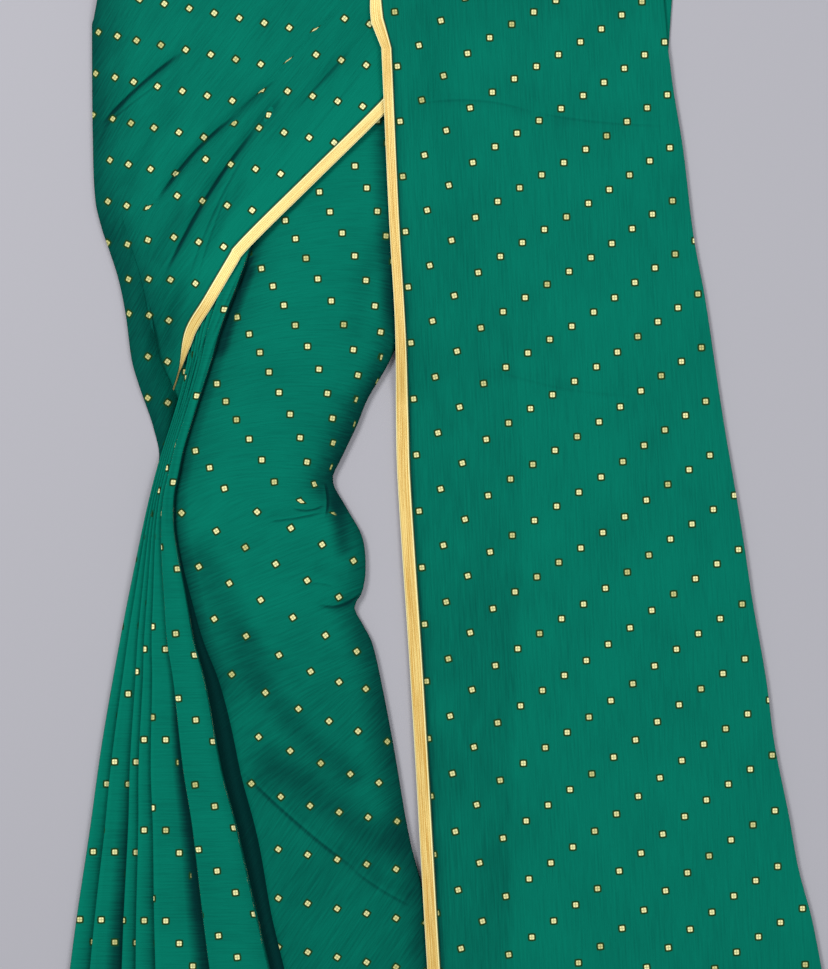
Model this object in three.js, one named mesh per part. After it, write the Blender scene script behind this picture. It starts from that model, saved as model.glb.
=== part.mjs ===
// Printed chiffon saree, laid out on a flat surface as it is worn: hip wrap, pleats, leg panel, end panel.
// One continuous sheet of cloth, with a gold lace tape along one long edge. Millimetres, +Z up.
// It is shaped about the middle of the layout. The last lines move the origin to the foot of its box.
import * as THREE from 'three';

// Driving sizes
const CLOTH_THICK = 1.0;
const TAPE_THICK = 1.0;
const TAPE_WIDTH = 16;
const EDGE_GAP = 0.4;
const LAYER = 1.7;
const TURN_REACH = 0.43 * LAYER;
const WAIST = 520;
const HEM = -584;
const HIP_FOOT = 28;
const HIP_HEAD = 535;
const HIP_HEIGHT = 25;
const LEG_RISE = 15;
const LEG_EDGE = 5;
const LEG_SHOULDER = 130;
const VALLEY_WIDTH = 14;
const SHOULDER_PLEAT_DEPTH = 12;
const SHOULDER_OVERHANG = 25;
const END_LAP = 20;
const GREEN = 0x0a7a62;
const GOLD = 0xe8c468;

// Cross rows of the sheet: their heights on the leg panel, from hem to waist, close together at the knee
const ROW_HEIGHTS = [-584, -530, -470, -400, -330, -260, -205, -160, -141, -124, -97, -60,
  -27, 5, 30, 70, 120, 180, 240, 310, 400, 520];
const ROW_SHARES = ROW_HEIGHTS.map((y) => (y - HEM) / (WAIST - HEM));
const ROWS = ROW_HEIGHTS.length;

// Outlines, each a list of height y and place x
const PLEAT_LEFT = [[-600, -401], [-500, -388], [-400, -373], [-300, -359], [-180, -338], [-80, -318],
  [-20, -305], [30, -292], [101, -270], [140, -261], [180, -256], [260, -237], [370, -216], [520, -191]];
const PLEAT_RIGHT = [[-600, -154], [-504, -177], [-392, -203], [-328, -220], [-226, -239], [-179, -252],
  [-129, -261], [-82, -270], [-50, -275], [-13, -275], [12, -270], [41, -264], [90, -249], [143, -232],
  [181, -221], [258, -192], [370, -160], [520, -125]];
const LEG_RIGHT = [[-600, 28], [-500, 18], [-409, -5], [-300, -24], [-227, -38], [-181, -49], [-160, -60],
  [-141, -69], [-124, -60], [-97, -56], [-60, -60], [-27, -78], [5, -94], [30, -84], [68, -66], [98, -54],
  [139, -30], [180, -14], [260, -1], [370, 6], [520, -2]];
const BACK_RIGHT = [[-600, 28], [-300, -32], [-150, -74], [0, -98], [100, -60], [180, -18], [370, 4],
  [520, -2]];
const HIP_LEFT = [[-600, -401], [-300, -359], [-80, -318], [28, -294], [65, -300], [112, -316], [143, -325],
  [195, -332], [235, -340], [267, -350], [293, -359], [327, -367], [396, -370], [523, -371], [620, -371]];
const END_LEFT = [[-600, 34], [-503, 28], [-225, 12], [7, -3], [74, -5], [166, -8], [304, -16], [505, -25],
  [620, -30]];
const END_RIGHT = [[-600, 476], [-503, 458], [-443, 442], [-382, 431], [-297, 414], [-226, 405], [-134, 389],
  [-67, 379], [1, 368], [53, 359], [110, 350], [217, 334], [287, 321], [387, 309], [454, 298], [505, 291],
  [620, 268]];
const LAP_RIGHT = [[-600, 110], [-503, 112], [-248, 116], [1, 126], [270, 106], [505, 90], [620, 80]];
// How far the end panel's taped edge is lifted by what lies under it, at each height
const END_LIFT = [[-600, 8], [-500, 7], [-420, 4], [-360, 0], [90, 0], [130, 6], [166, 10], [200, 12],
  [300, 14], [370, 15], [442, 18.5], [505, 19], [560, 14], [620, 5], [680, 0]];

// Knife pleats, lowest first: each front fold, and the fold hidden under it, as shares of the bundle's
// width at the neck and at the hem
const PLEATS = [
  { front: [0.00, 0.00], under: [0.57, 0.46] },
  { front: [0.11, 0.10], under: [0.64, 0.57] },
  { front: [0.22, 0.26], under: [0.71, 0.70] },
  { front: [0.33, 0.33], under: [0.78, 0.76] },
  { front: [0.44, 0.43], under: [0.85, 0.90] },
  { front: [0.59, 0.70], under: [0.97, 0.985] },
];
const INNER_LEVEL = 2;

// Back layer: how far across each rib lies, the height of its foot, and the way to the tape's outer edge.
// Its lower edge rises from the hem at the right to the left hip.
const BACK = [
  { share: 0.08, foot: -584, tape: [0, -16, 0] },
  { share: 0.2, foot: -490, tape: [-13, -8, 0] },
  { share: 0.4, foot: -320, tape: [-12, -10, 0] },
  { share: 0.6, foot: -180, tape: [-12, -10, 0] },
  { share: 0.8, foot: -65, tape: [-12, -9, 0] },
  { share: 0.985, foot: HIP_FOOT, tape: [-2, -12, 0] },
];

// Hip wrap: each rib's foot on the taped edge, its head on the outer edge, the foot's height,
// and the way to the tape's outer edge
const WRAP = [
  { foot: [-281, 97], head: [-360, 590], rise: 2.2, tape: [9, -9, 0] },
  { foot: [-271, 134], head: [-352, 640], rise: 6, tape: [3, -3, -3] },
  { foot: [-264, 178], head: [-340, 690], rise: 12, tape: [16, -6, 9] },
  { foot: [-241, 213], head: [-320, 735], rise: 22, tape: [15, -8, 4] },
  { foot: [-210, 269], head: [-295, 772], rise: 25, tape: [11, -11, 0] },
  { foot: [-177, 304], head: [-262, 795], rise: 25, tape: [11, -12, 0] },
  { foot: [-117, 363], head: [-212, 832], rise: 23, tape: [10, -12, 0] },
  { foot: [-38, 442], head: [-152, 862], rise: 18, tape: [10, -12, 0] },
  { foot: [-2, 486], head: [-85, 880], rise: 12, tape: [11, -11, 0] },
  { foot: [20, 530], head: [-22, 888], rise: 5, tape: [12, -11, 0] },
];

// Shoulder end: the ribs turn round the shoulder. One small pleat brings the taped edge back over itself.
// level is the layer at the foot, fold how far the rib is doubled, spread how far apart its layers lie,
// and back the depth of the doubled part where it differs from the usual one.
const SHOULDER = [
  { foot: [40, 560], head: [36, 890], level: 0, fold: 0, spread: 1 },
  { foot: [42, 561], head: [42, 890], level: 0.4, fold: 0, spread: 1 },
  { foot: [42, 562], head: [48, 889], level: 1.1, fold: 0, spread: 1 },
  { foot: [40, 563], head: [49, 889], level: 1.7, fold: 0, spread: 1 },
  { foot: [-34, 600], head: [116, 873], level: 3.3, fold: 0, spread: 1 },
  { foot: [-36, 599], head: [119, 872], level: 3.9, fold: 0, spread: 1 },
  { foot: [-36, 598], head: [123, 870], level: 4.6, fold: 0, spread: 1 },
  { foot: [-34, 597], head: [129, 866], level: 4.8, fold: 0, spread: 1 },
  { foot: [-37, 585], head: [190, 820], level: 4.8, fold: 0.35, spread: 1 },
  { foot: [-37, 578], head: [213, 796], level: 4.8, fold: 1, spread: 3, back: 0 },
  { foot: [-37, 570], head: [232, 768], level: 4.8, fold: 1, spread: 2.4, back: 7 },
  { foot: [-36, 553], head: [262, 700], level: 4.8, fold: 1, spread: 1.7 },
  { foot: [-34, 535], head: [280, 640], level: 4.8, fold: 1, spread: 1.2 },
];
// End panel ribs, from the shoulder down
const END_HEIGHTS = [500, 440, 370, 290, 200, 120, 60, -60, -180, -300, -400, -500, -600];
const FRONT_ROWS = 9;

const mix = (a, b, share) => a + (b - a) * share;
const clamp = (value) => Math.min(1, Math.max(0, value));
const ease = (value) => clamp(value) ** 2 * (3 - 2 * clamp(value));
const round = (value) => Math.sqrt(Math.max(0, 1 - (1 - clamp(value)) ** 2));
const levelHeight = (level) => CLOTH_THICK / 2 + level * LAYER;

// Place on an outline at a height, along straight stretches
function outline(points, y) {
  let i = 0;
  while (i < points.length - 2 && y > points[i + 1][0]) i += 1;
  const [y0, x0] = points[i];
  const [y1, x1] = points[i + 1];
  return mix(x0, x1, (y - y0) / (y1 - y0));
}

// The pleats sink to the floor where the back layer no longer lies under them
function sag(x, y) {
  const right = outline(LEG_RIGHT, y);
  const across = (right - x) / (right - outline(HIP_LEFT, y));
  const past = (across - outline(BACK.map((rib) => [rib.foot, rib.share]), y)) * 320;
  return INNER_LEVEL * LAYER * ease((past - 25) / 130);
}

const bundleShare = (pair, y) => mix(pair[0], pair[1], ease((30 - y) / 420));
const inBundle = (share, y) => mix(outline(PLEAT_LEFT, y), outline(PLEAT_RIGHT, y), share);
const valley = (y) => ease((-60 - y) / 120);
const legLeft = (y) => outline(PLEAT_RIGHT, y) + 4 + VALLEY_WIDTH * valley(y);

// Soft swell of the leg panel over the layers under it
function legHeight(x, y) {
  const right = outline(LEG_RIGHT, y);
  const left = legLeft(y);
  const hemFade = mix(0.3, 1, ease((y - HEM) / 180));
  const waistFade = 1 - 0.4 * ease((y - 260) / 140);
  const swell = round((right - x) / LEG_SHOULDER) * LEG_RISE * hemFade * waistFade;
  const dip = 5 * (1 - ease((x - left) / 60)) * hemFade;
  return levelHeight(0) + LEG_EDGE + Math.max(1, swell - dip);
}

// Swell of the hip wrap over the pleats, down to the floor past the waist and at the right
function wrapHeight(x, y) {
  const left = outline(HIP_LEFT, y);
  const past = (1 - ease((y - 545) / 190)) * (1 - ease((x - 20) / 90));
  const rise = round((x - left) / 140) * (1 - 0.45 * ease((x + 120) / 120)) * past;
  return levelHeight(1) + (HIP_HEIGHT - 2) * rise;
}

const ribs = [];

// One rib of the sheet: its rows, and the three numbers that lead to the tape's outer edge
function addRib(rows, tape) {
  ribs.push({ rows, tape });
}

// Rib that crosses the pleats or the leg panel from hem to waist
function uprightRib(place, height) {
  const rows = ROW_HEIGHTS.map((y) => [place(y), y, height(place(y), y)]);
  addRib(rows, [0, -TAPE_WIDTH, 0]);
}

// Folded edge between two layers, as two ribs of a half round
function turn(place, side, level) {
  for (const part of [0.25, 0.75]) {
    uprightRib((y) => place(y) + side * TURN_REACH, (x, y) => levelHeight(level + part) - sag(x, y));
  }
}

function layInnerPanel() {
  for (const reach of [80, 30]) {
    uprightRib((y) => outline(PLEAT_RIGHT, y) + reach, (x, y) => levelHeight(INNER_LEVEL) - sag(x, y));
  }
  for (const share of [0.7, 0.35, 0]) {
    uprightRib((y) => inBundle(share, y), (x, y) => levelHeight(INNER_LEVEL) - sag(x, y));
  }
  turn((y) => inBundle(0, y), -1, INNER_LEVEL);
}

function layPleats() {
  PLEATS.forEach((pleat, i) => {
    const level = INNER_LEVEL + 1 + 2 * i;
    const front = (y) => inBundle(bundleShare(pleat.front, y), y);
    const under = (y) => inBundle(bundleShare(pleat.under, y), y);
    const at = (offset) => (x, y) => levelHeight(level + offset) - sag(x, y);
    uprightRib(front, at(0));
    uprightRib((y) => mix(front(y), under(y), 0.5), at(0));
    uprightRib(under, at(0));
    if (i === PLEATS.length - 1) return;
    const next = (y) => inBundle(bundleShare(PLEATS[i + 1].front, y), y);
    turn(under, 1, level);
    uprightRib(under, at(1));
    uprightRib(next, at(1));
    turn(next, -1, level + 1);
  });
}

function layLegPanel() {
  const top = INNER_LEVEL + 1 + 2 * (PLEATS.length - 1);
  const bundleTop = (x, y) => levelHeight(top) - sag(x, y);
  const floor = (x, y) => mix(legHeight(legLeft(y), y) - 1, levelHeight(INNER_LEVEL + 1) + 1, valley(y));
  const wall = (share) => (x, y) => mix(bundleTop(x, y), floor(x, y), share);
  uprightRib((y) => outline(PLEAT_RIGHT, y) + 1, wall(0.45));
  uprightRib((y) => mix(outline(PLEAT_RIGHT, y), legLeft(y), 0.5), wall(1));
  for (const share of [0, 0.1, 0.22, 0.35, 0.48, 0.61, 0.74, 0.85, 0.93, 0.98]) {
    uprightRib((y) => mix(legLeft(y), outline(LEG_RIGHT, y), share), legHeight);
  }
  for (const [inset, part] of [[1.5, 0.85], [0, 0.5], [5, 0.1]]) {
    uprightRib((y) => outline(LEG_RIGHT, y) - inset, () => levelHeight(0) + LEG_EDGE * part);
  }
}

// Back layer, flat on the floor, and the fold at the left hip
function layBack() {
  for (const { share, foot, tape } of BACK) {
    const rows = ROW_SHARES.map((part) => {
      const y = mix(foot, WAIST, part);
      return [mix(outline(BACK_RIGHT, y), outline(HIP_LEFT, y), share), y, levelHeight(0)];
    });
    addRib(rows, tape);
  }
  for (const [inset, part] of [[0, 0.3], [0, 0.7], [2, 1]]) {
    const rows = ROW_SHARES.map((share) => {
      const y = mix(HIP_FOOT, mix(WAIST, HIP_HEAD, part), share);
      const top = mix(levelHeight(1), levelHeight(1) + 4, ease(share / 0.2));
      return [outline(HIP_LEFT, y) + inset, y, mix(levelHeight(0), top, part)];
    });
    addRib(rows, [inset * 1.5 - 2, -12, 0]);
  }
}

// Straight line from foot to head of the left hip fold
function hipChord(y) {
  const share = clamp((y - HIP_FOOT) / (WAIST - HIP_FOOT));
  return mix(outline(HIP_LEFT, HIP_FOOT), outline(HIP_LEFT, WAIST), share);
}

function layWrap() {
  WRAP.forEach((section, i) => {
    const [footX, footY] = section.foot;
    const [headX, headY] = section.head;
    const follow = 1 - ease((i + 1) / 6);
    const rows = ROW_SHARES.map((share) => {
      const y = mix(footY, headY, share);
      const straight = mix(footX, headX, share);
      const bow = (outline(HIP_LEFT, y) - hipChord(y)) * follow * ease(share / 0.15);
      const x = straight + bow;
      return [x, y, mix(section.rise, wrapHeight(x, y), ease(share / 0.22))];
    });
    addRib(rows, section.tape);
  });
}

// Rib that is doubled into three layers: place and level of each row, from the taped edge
function doubledRow(row, reach, back, lap) {
  const depth = reach - back;
  const step = row - FRONT_ROWS - 1;
  if (row <= FRONT_ROWS) return [reach * row / FRONT_ROWS, 2];
  if (back === 0 && step < 8) return [reach, 2 - (step + 1) / 4];
  const middle = lap + END_LAP < reach ? lap + END_LAP : mix(reach, depth, 0.5);
  const parts = [[reach + TURN_REACH, 1.75], [reach + TURN_REACH, 1.25], [reach, 1], [middle, 1],
    [depth, 1], [depth - TURN_REACH, 0.75], [depth - TURN_REACH, 0.25], [depth, 0]];
  if (step < parts.length) return parts[step];
  const rest = ROWS - 1 - FRONT_ROWS - parts.length;
  return [mix(depth, lap, (step - parts.length + 1) / rest), 0];
}

// Lift of the end panel's front layer beside its taped edge, where it lies over the wrap and the leg
const raise = (row, along, y) => (row <= FRONT_ROWS ? outline(END_LIFT, y) * (1 - ease(along / 95)) : 0);

function layShoulder() {
  for (const section of SHOULDER) {
    const foot = new THREE.Vector2(...section.foot);
    const head = new THREE.Vector2(...section.head);
    const reach = foot.distanceTo(head);
    const way = head.sub(foot).normalize();
    const rows = ROW_SHARES.map((share, row) => {
      const depth = section.back ?? SHOULDER_PLEAT_DEPTH;
      const [doubled, level] = doubledRow(row, reach, depth, reach + SHOULDER_OVERHANG);
      const along = mix(reach * share, doubled, section.fold);
      const fade = 1 - ease((share - 0.6) / 0.35);
      const lift = Math.max(0, section.level - 2 * section.spread) * (1 - ease((along - 140) / 100));
      const front = row <= FRONT_ROWS ? lift : 0;
      const layer = mix(section.level * fade, level * section.spread + front, ease(section.fold * 1.25));
      const x = foot.x + way.x * along;
      const y = foot.y + way.y * along;
      return [x, y, levelHeight(layer) + wrapHeight(x, y) - levelHeight(1)];
    });
    const outer = foot.clone().addScaledVector(way, -TAPE_WIDTH);
    const drop = wrapHeight(outer.x, outer.y) - wrapHeight(foot.x, foot.y);
    addRib(rows, [outer.x - foot.x, outer.y - foot.y, drop]);
  }
}

function layEndPanel() {
  END_HEIGHTS.forEach((y, i) => {
    const left = outline(END_LEFT, y);
    const right = outline(END_RIGHT, y);
    const opened = ease((i + 1) / 4);
    const foldX = Math.max(left + 4, outline(LEG_RIGHT, y) + 9, mix(right - 12, -400, opened));
    const lapX = mix(right + SHOULDER_OVERHANG, outline(LAP_RIGHT, y), ease((i + 1) / 5));
    const rows = ROW_SHARES.map((share, row) => {
      const [along, level] = doubledRow(row, right - left, right - foldX, lapX - left);
      const x = left + along;
      const sink = i < 3 ? 0 : LAYER * clamp((x - lapX - END_LAP) / (right - lapX - END_LAP));
      return [x, y, levelHeight(level) + raise(row, along, y) - (level > 0.5 ? sink : 0)];
    });
    addRib(rows, [-TAPE_WIDTH, 0, 0]);
  });
}

layInnerPanel();
layPleats();
layLegPanel();
layBack();
layWrap();
layShoulder();
layEndPanel();

const vector = (point) => new THREE.Vector3(...point);

// Direction of a row of points at one of them, evened over its neighbours
function tangent(points, i) {
  const before = points[Math.max(0, i - 1)];
  const here = points[i];
  const after = points[Math.min(points.length - 1, i + 1)];
  const incoming = here.clone().sub(before).normalize();
  const outgoing = after.clone().sub(here).normalize();
  return incoming.add(outgoing).normalize();
}

// Outward direction of the sheet at each middle point of a grid
function normals(grid) {
  return grid.map((column, i) => column.map((point, j) => {
    const before = grid[Math.max(0, i - 1)][j];
    const after = grid[Math.min(grid.length - 1, i + 1)][j];
    return tangent([before, point, after], 1).cross(tangent(column, j)).normalize();
  }));
}

// Closed sheet of even thickness about a grid of middle points
function sheet(grid, outward, thick) {
  const columns = grid.length;
  const rows = grid[0].length;
  const corners = [];
  for (const side of [1, -1]) {
    grid.forEach((column, i) => column.forEach((point, j) => {
      corners.push(point.clone().addScaledVector(outward[i][j], side * thick / 2));
    }));
  }
  const at = (side, i, j) => side * columns * rows + i * rows + j;
  const faces = [];
  const quad = (a, b, c, d) => faces.push(a, b, c, a, c, d);
  for (let i = 0; i < columns - 1; i += 1) {
    for (let j = 0; j < rows - 1; j += 1) {
      quad(at(0, i, j), at(0, i + 1, j), at(0, i + 1, j + 1), at(0, i, j + 1));
      quad(at(1, i, j), at(1, i, j + 1), at(1, i + 1, j + 1), at(1, i + 1, j));
    }
    quad(at(1, i, 0), at(1, i + 1, 0), at(0, i + 1, 0), at(0, i, 0));
    quad(at(0, i, rows - 1), at(0, i + 1, rows - 1), at(1, i + 1, rows - 1), at(1, i, rows - 1));
  }
  for (let j = 0; j < rows - 1; j += 1) {
    quad(at(0, 0, j), at(0, 0, j + 1), at(1, 0, j + 1), at(1, 0, j));
    quad(at(1, columns - 1, j), at(1, columns - 1, j + 1), at(0, columns - 1, j + 1), at(0, columns - 1, j));
  }
  const geometry = new THREE.BufferGeometry();
  geometry.setAttribute('position', new THREE.Float32BufferAttribute(corners.flatMap((c) => c.toArray()), 3));
  geometry.setIndex(faces);
  return geometry;
}

// Middle points of tape and cloth in one grid, so that both have the same slope where they meet
const TAPE_ROWS = 3;
const grid = ribs.map((rib) => {
  const edge = vector(rib.rows[0]);
  const way = vector(rib.tape);
  const gap = way.clone().normalize().multiplyScalar(EDGE_GAP);
  const tapeRows = [way, way.clone().multiplyScalar(0.5), gap].map((step) => edge.clone().add(step));
  return [...tapeRows, ...rib.rows.map(vector)];
});
const outward = normals(grid);
const piece = (from, to, thick) => sheet(grid.map((column) => column.slice(from, to)),
  outward.map((column) => column.slice(from, to)), thick);

const clothFinish = new THREE.MeshStandardMaterial({ color: GREEN, roughness: 0.75, metalness: 0 });
const tapeFinish = new THREE.MeshStandardMaterial({ color: GOLD, roughness: 0.45, metalness: 0.2 });
const cloth = new THREE.Mesh(piece(TAPE_ROWS, TAPE_ROWS + ROWS, CLOTH_THICK), clothFinish);
cloth.name = 'saree_cloth';
const tape = new THREE.Mesh(piece(0, TAPE_ROWS, TAPE_THICK), tapeFinish);
tape.name = 'border_tape';

const saree = new THREE.Group();
saree.add(cloth, tape);
const box = new THREE.Box3().setFromObject(saree);
const centre = box.getCenter(new THREE.Vector3());
saree.position.set(-centre.x, -centre.y, -box.min.z);
export default saree;
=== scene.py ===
# The printed chiffon saree, laid out in its folds on a pale floor and seen from straight above.
# Layout sizes are millimetres: x runs from the pleats to the end panel, y from the hem to the shoulder.
# Sizes in the materials are metres.
import math

import bmesh
import bpy
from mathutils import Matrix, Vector


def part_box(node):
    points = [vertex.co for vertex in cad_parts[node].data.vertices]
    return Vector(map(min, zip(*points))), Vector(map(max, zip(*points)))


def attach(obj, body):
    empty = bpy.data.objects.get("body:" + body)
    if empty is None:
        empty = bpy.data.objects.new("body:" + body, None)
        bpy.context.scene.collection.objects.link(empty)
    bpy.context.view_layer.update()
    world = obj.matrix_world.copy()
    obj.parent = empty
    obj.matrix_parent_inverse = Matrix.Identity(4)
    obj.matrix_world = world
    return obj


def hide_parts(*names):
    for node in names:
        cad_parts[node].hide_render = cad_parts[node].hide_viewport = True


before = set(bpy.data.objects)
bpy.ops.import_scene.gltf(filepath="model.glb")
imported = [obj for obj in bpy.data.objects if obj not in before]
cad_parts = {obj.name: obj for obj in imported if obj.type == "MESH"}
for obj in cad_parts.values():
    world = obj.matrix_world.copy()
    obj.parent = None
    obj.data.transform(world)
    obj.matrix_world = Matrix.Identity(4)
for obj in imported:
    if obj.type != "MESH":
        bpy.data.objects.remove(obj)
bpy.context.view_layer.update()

# The camera looks straight down on the middle of the layout. The picture takes in 1.11 m of its length,
# so the hem and the shoulder end lie just outside the view.
MM = 0.001
CLOTH_RIGHT = 477.16
CLOTH_TOP = 890
CLOTH_HEIGHT = 0.012
CAMERA_HEIGHT = 3.6
VIEW_LENGTH = 1.114
SENSOR = 36

# The layout's zero is the middle of the picture. It is found from the box of the CAD cloth.
cloth_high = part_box("saree_cloth")[1]
ORIGIN = Vector((cloth_high[0] - CLOTH_RIGHT * MM, cloth_high[1] - CLOTH_TOP * MM, 0))

camera_data = bpy.data.cameras.new("camera")
camera_data.sensor_width = SENSOR
camera_data.lens = SENSOR * (CAMERA_HEIGHT - CLOTH_HEIGHT) / VIEW_LENGTH
camera = bpy.data.objects.new("camera", camera_data)
camera.location = ORIGIN + Vector((0, 0, CAMERA_HEIGHT))
bpy.context.collection.objects.link(camera)
bpy.context.scene.camera = camera


# Saree cloth: one uncut length of crinkled emerald chiffon, 1.1 m wide, printed all over with small gold
# squares. It is pleated, drawn across as the leg panel, turned back under, brought round as the hip wrap
# and over the shoulder, from where the end panel hangs. Nothing fixes it but its own folds.
LAYER = 1.7
TURN_REACH = 0.43 * LAYER
TURN_ANGLES = (30, 90, 150)
FLOOR_LEVEL = 0.5
WAIST = 520
HEM = -584
HIP_FOOT = 28
HIP_HEAD = 535
LEG_FOOT = 5
LEG_RISE = 17
LEG_SHOULDER = 130
VALLEY_WIDTH = 18
TAPE_WIDTH = 16

# Outlines, each a list of height y and place x
PLEAT_LEFT = [(-600, -401), (-500, -388), (-400, -373), (-300, -359), (-180, -338), (-80, -318),
              (-20, -305), (30, -292), (101, -270), (140, -261), (180, -256), (260, -237), (370, -216),
              (520, -191)]
PLEAT_RIGHT = [(-600, -154), (-504, -177), (-392, -203), (-328, -220), (-226, -239), (-179, -252),
               (-129, -261), (-82, -270), (-50, -275), (-13, -275), (12, -270), (41, -264), (90, -249),
               (143, -232), (181, -221), (258, -192), (370, -160), (520, -125)]
LEG_RIGHT = [(-600, 28), (-500, 18), (-409, -5), (-300, -24), (-227, -38), (-181, -49), (-160, -60),
             (-141, -69), (-124, -60), (-97, -56), (-60, -60), (-27, -78), (5, -94), (30, -84), (68, -66),
             (98, -54), (139, -30), (180, -14), (260, -1), (370, 6), (520, -2)]
BACK_RIGHT = [(-600, 28), (-300, -32), (-150, -74), (0, -98), (100, -60), (180, -18), (370, 4), (520, -2)]
HIP_LEFT = [(-600, -401), (-300, -359), (-80, -318), (28, -294), (65, -300), (112, -316), (143, -325),
            (195, -332), (235, -340), (267, -350), (293, -359), (327, -367), (396, -370), (523, -371),
            (620, -371)]
END_LEFT = [(-600, 34), (-503, 28), (-225, 12), (7, -3), (74, -5), (166, -8), (304, -16), (505, -25),
            (620, -30)]
END_RIGHT = [(-600, 476), (-503, 458), (-443, 442), (-382, 431), (-297, 414), (-226, 405), (-134, 389),
             (-67, 379), (1, 368), (53, 359), (110, 350), (217, 334), (287, 321), (387, 309), (454, 298),
             (505, 291), (620, 268)]
LAP_RIGHT = [(-600, 110), (-503, 112), (-248, 116), (1, 126), (270, 106), (505, 90), (620, 80)]
END_LIFT = [(-600, 8), (-500, 7), (-420, 4), (-360, 0), (90, 0), (130, 6), (166, 10), (200, 12),
            (300, 14), (370, 15), (442, 18.5), (505, 19), (560, 14), (620, 5), (680, 0)]

# Knife pleats, lowest first: (front at the neck, front at the hem, hidden fold at the neck, at the hem)
PLEATS = [(0.00, 0.00, 0.57, 0.46), (0.11, 0.10, 0.64, 0.57), (0.22, 0.26, 0.71, 0.70),
          (0.33, 0.33, 0.78, 0.76), (0.44, 0.43, 0.85, 0.90), (0.59, 0.70, 0.97, 0.985)]
INNER_LEVEL = 2
TOP_LEVEL = INNER_LEVEL + 1 + 2 * (len(PLEATS) - 1)
PLEAT_CROWN = 4
PLEAT_SOFTNESS = 13
PLEAT_RIBS = (0, 0.06, 0.14, 0.24, 0.36, 0.5, 0.7, 1)
PLEAT_SHIFT = 37
UNDER_SHIFT = 17
REPEAT = 62
ROW_STEP = 26

# Back layer ribs: (share of the way from right to left, height of the foot)
BACK = [(0.08, -584), (0.2, -490), (0.4, -320), (0.6, -180), (0.8, -65), (0.985, HIP_FOOT)]
BACK_FEET = [(foot, share) for share, foot in BACK]
BACK_WIDTH = 320

# Hip wrap ribs: (foot x, foot y, head x, head y, height of the foot). The first lies under the pleats.
WRAP = [(-268, 76, -362, 570, 2.0), (-280, 99, -360, 590, 2.6), (-271, 134, -352, 640, 6),
        (-264, 178, -340, 690, 12), (-241, 216, -320, 735, 22), (-213, 263, -299, 768, 25),
        (-206, 274, -291, 775, 25), (-177, 304, -262, 795, 25), (-117, 363, -212, 832, 23),
        (-38, 442, -152, 862, 18), (-2, 486, -85, 880, 12), (20, 530, -22, 888, 5)]

# Shoulder ribs: (foot x, foot y, head x, head y, layer, how far doubled, layer spread, doubled depth)
SHOULDER = [(40, 560, 36, 890, 0, 0, 1, 12), (42, 562, 48, 889, 1.1, 0, 1, 12),
            (40, 563, 49, 889, 1.7, 0, 1, 12), (-34, 600, 116, 873, 3.3, 0, 1, 12),
            (-36, 598, 123, 870, 4.6, 0, 1, 12), (-34, 597, 129, 866, 4.8, 0, 1, 12),
            (-37, 585, 190, 820, 4.8, 0.35, 1, 12), (-37, 578, 213, 796, 4.8, 1, 3, 0),
            (-37, 570, 232, 768, 4.8, 1, 2.4, 7), (-36, 553, 262, 700, 4.8, 1, 1.7, 12),
            (-34, 535, 280, 640, 4.8, 1, 1.2, 12)]

# End panel ribs: heights, from the shoulder down to the hem
END_HEIGHTS = [500, 440, 370, 290, 200, 120, 60, -60, -180, -300, -400, -500, -600]


def mix(a, b, share):
    return a + (b - a) * share


def clamp(value):
    return min(1, max(0, value))


def ease(value):
    return clamp(value) ** 2 * (3 - 2 * clamp(value))


def rounded(value):
    return math.sqrt(max(0, 1 - (1 - clamp(value)) ** 2))


def level_height(level):
    return FLOOR_LEVEL + level * LAYER


def smooth_curve(start, end, start_way, end_way, part):
    """Place part of the way along a smooth curve, by its slopes at the start and the end."""
    return (start * (2 * part ** 3 - 3 * part ** 2 + 1) + end * (3 * part ** 2 - 2 * part ** 3)
            + start_way * (part ** 3 - 2 * part ** 2 + part) + end_way * (part ** 3 - part ** 2))


def outline(points, y):
    """Place on an outline at a height, along a smooth curve through its points."""
    i = 0
    while i < len(points) - 2 and y > points[i + 1][0]:
        i += 1
    (y0, x0), (y1, x1) = points[i], points[i + 1]
    run = y1 - y0
    slope = (x1 - x0) / run
    before = (x1 - points[i - 1][1]) / (y1 - points[i - 1][0]) if i > 0 else slope
    after = (points[i + 2][1] - x0) / (points[i + 2][0] - y0) if i + 2 < len(points) else slope
    part = (y - y0) / run
    if not 0 <= part <= 1:
        return mix(x0, x1, part)
    return smooth_curve(x0, x1, before * run, after * run, part)


def wave(x, y, length, angle, seed):
    """Slow uneven ripple from -1 to 1, by its length across the crests and the crests' direction."""
    turn = math.radians(angle)
    across = -x * math.sin(turn) + y * math.cos(turn)
    along = x * math.cos(turn) + y * math.sin(turn)
    drift = 1.7 * math.sin(along / (length * 2.3) + seed)
    drift += 1.1 * math.sin(along / (length * 4.1) + 2.6 * seed)
    return (math.sin(across * 2 * math.pi / length + drift + seed)
            * (0.6 + 0.4 * math.sin(across / (length * 0.9) + along / (length * 3.1) + 1.9 * seed)))


CREASE_FADE = 0.14


def trough(x, y, points, width):
    """Soft groove along a line of points: 1 on the line, 0 past its width, fading at both ends."""
    best = 0
    total = len(points) - 1
    for i in range(total):
        start, end = Vector(points[i]), Vector(points[i + 1])
        way = end - start
        part = clamp((Vector((x, y)) - start).dot(way) / way.length_squared)
        distance = (Vector((x, y)) - start - way * part).length
        if distance < width:
            along = (i + part) / total
            fade = ease(along / CREASE_FADE) * ease((1 - along) / CREASE_FADE)
            best = max(best, (1 - ease(distance / width)) * fade)
    return best


def crease_depth(x, y, creases):
    return sum(depth * trough(x, y, points, width) for points, width, depth, _ in creases)


def crease_shade(x, y, creases):
    return sum(painted_dark * trough(x, y, points, width) for points, width, _, painted_dark in creases)


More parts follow.
